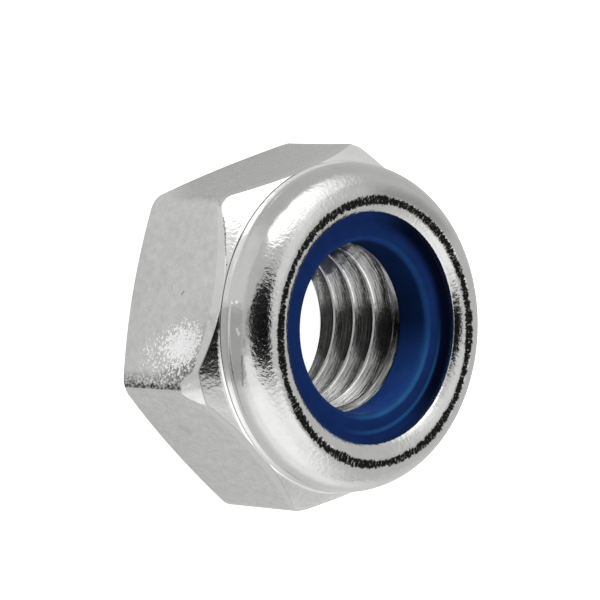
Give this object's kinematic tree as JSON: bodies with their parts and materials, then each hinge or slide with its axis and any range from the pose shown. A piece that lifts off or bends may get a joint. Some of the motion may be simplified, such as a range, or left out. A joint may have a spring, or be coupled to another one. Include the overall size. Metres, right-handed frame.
{
  "type": "nylon insert lock nut",
  "caption": "Hexagonal steel lock nut whose turned collar is rolled in over a blue nylon ring that grips the bolt's thread.",
  "frame": {"origin": "centre of the bearing face, where the thread's axis meets it", "axes": "+Z along the thread's axis, from the bearing face towards the nylon ring; +X square to one pair of flats; +Y through one pair of corners"},
  "size_m": [0.017, 0.0192, 0.0096],
  "materials": {
    "zinc_steel": "bright zinc plate on cold-formed steel, finely mottled and scratched",
    "blue_nylon": "dark blue moulded nylon, semi-gloss"
  },
  "bodies": {
    "root": {"nut_body": "zinc_steel", "nylon_insert": "blue_nylon"}
  },
  "joints": []
}
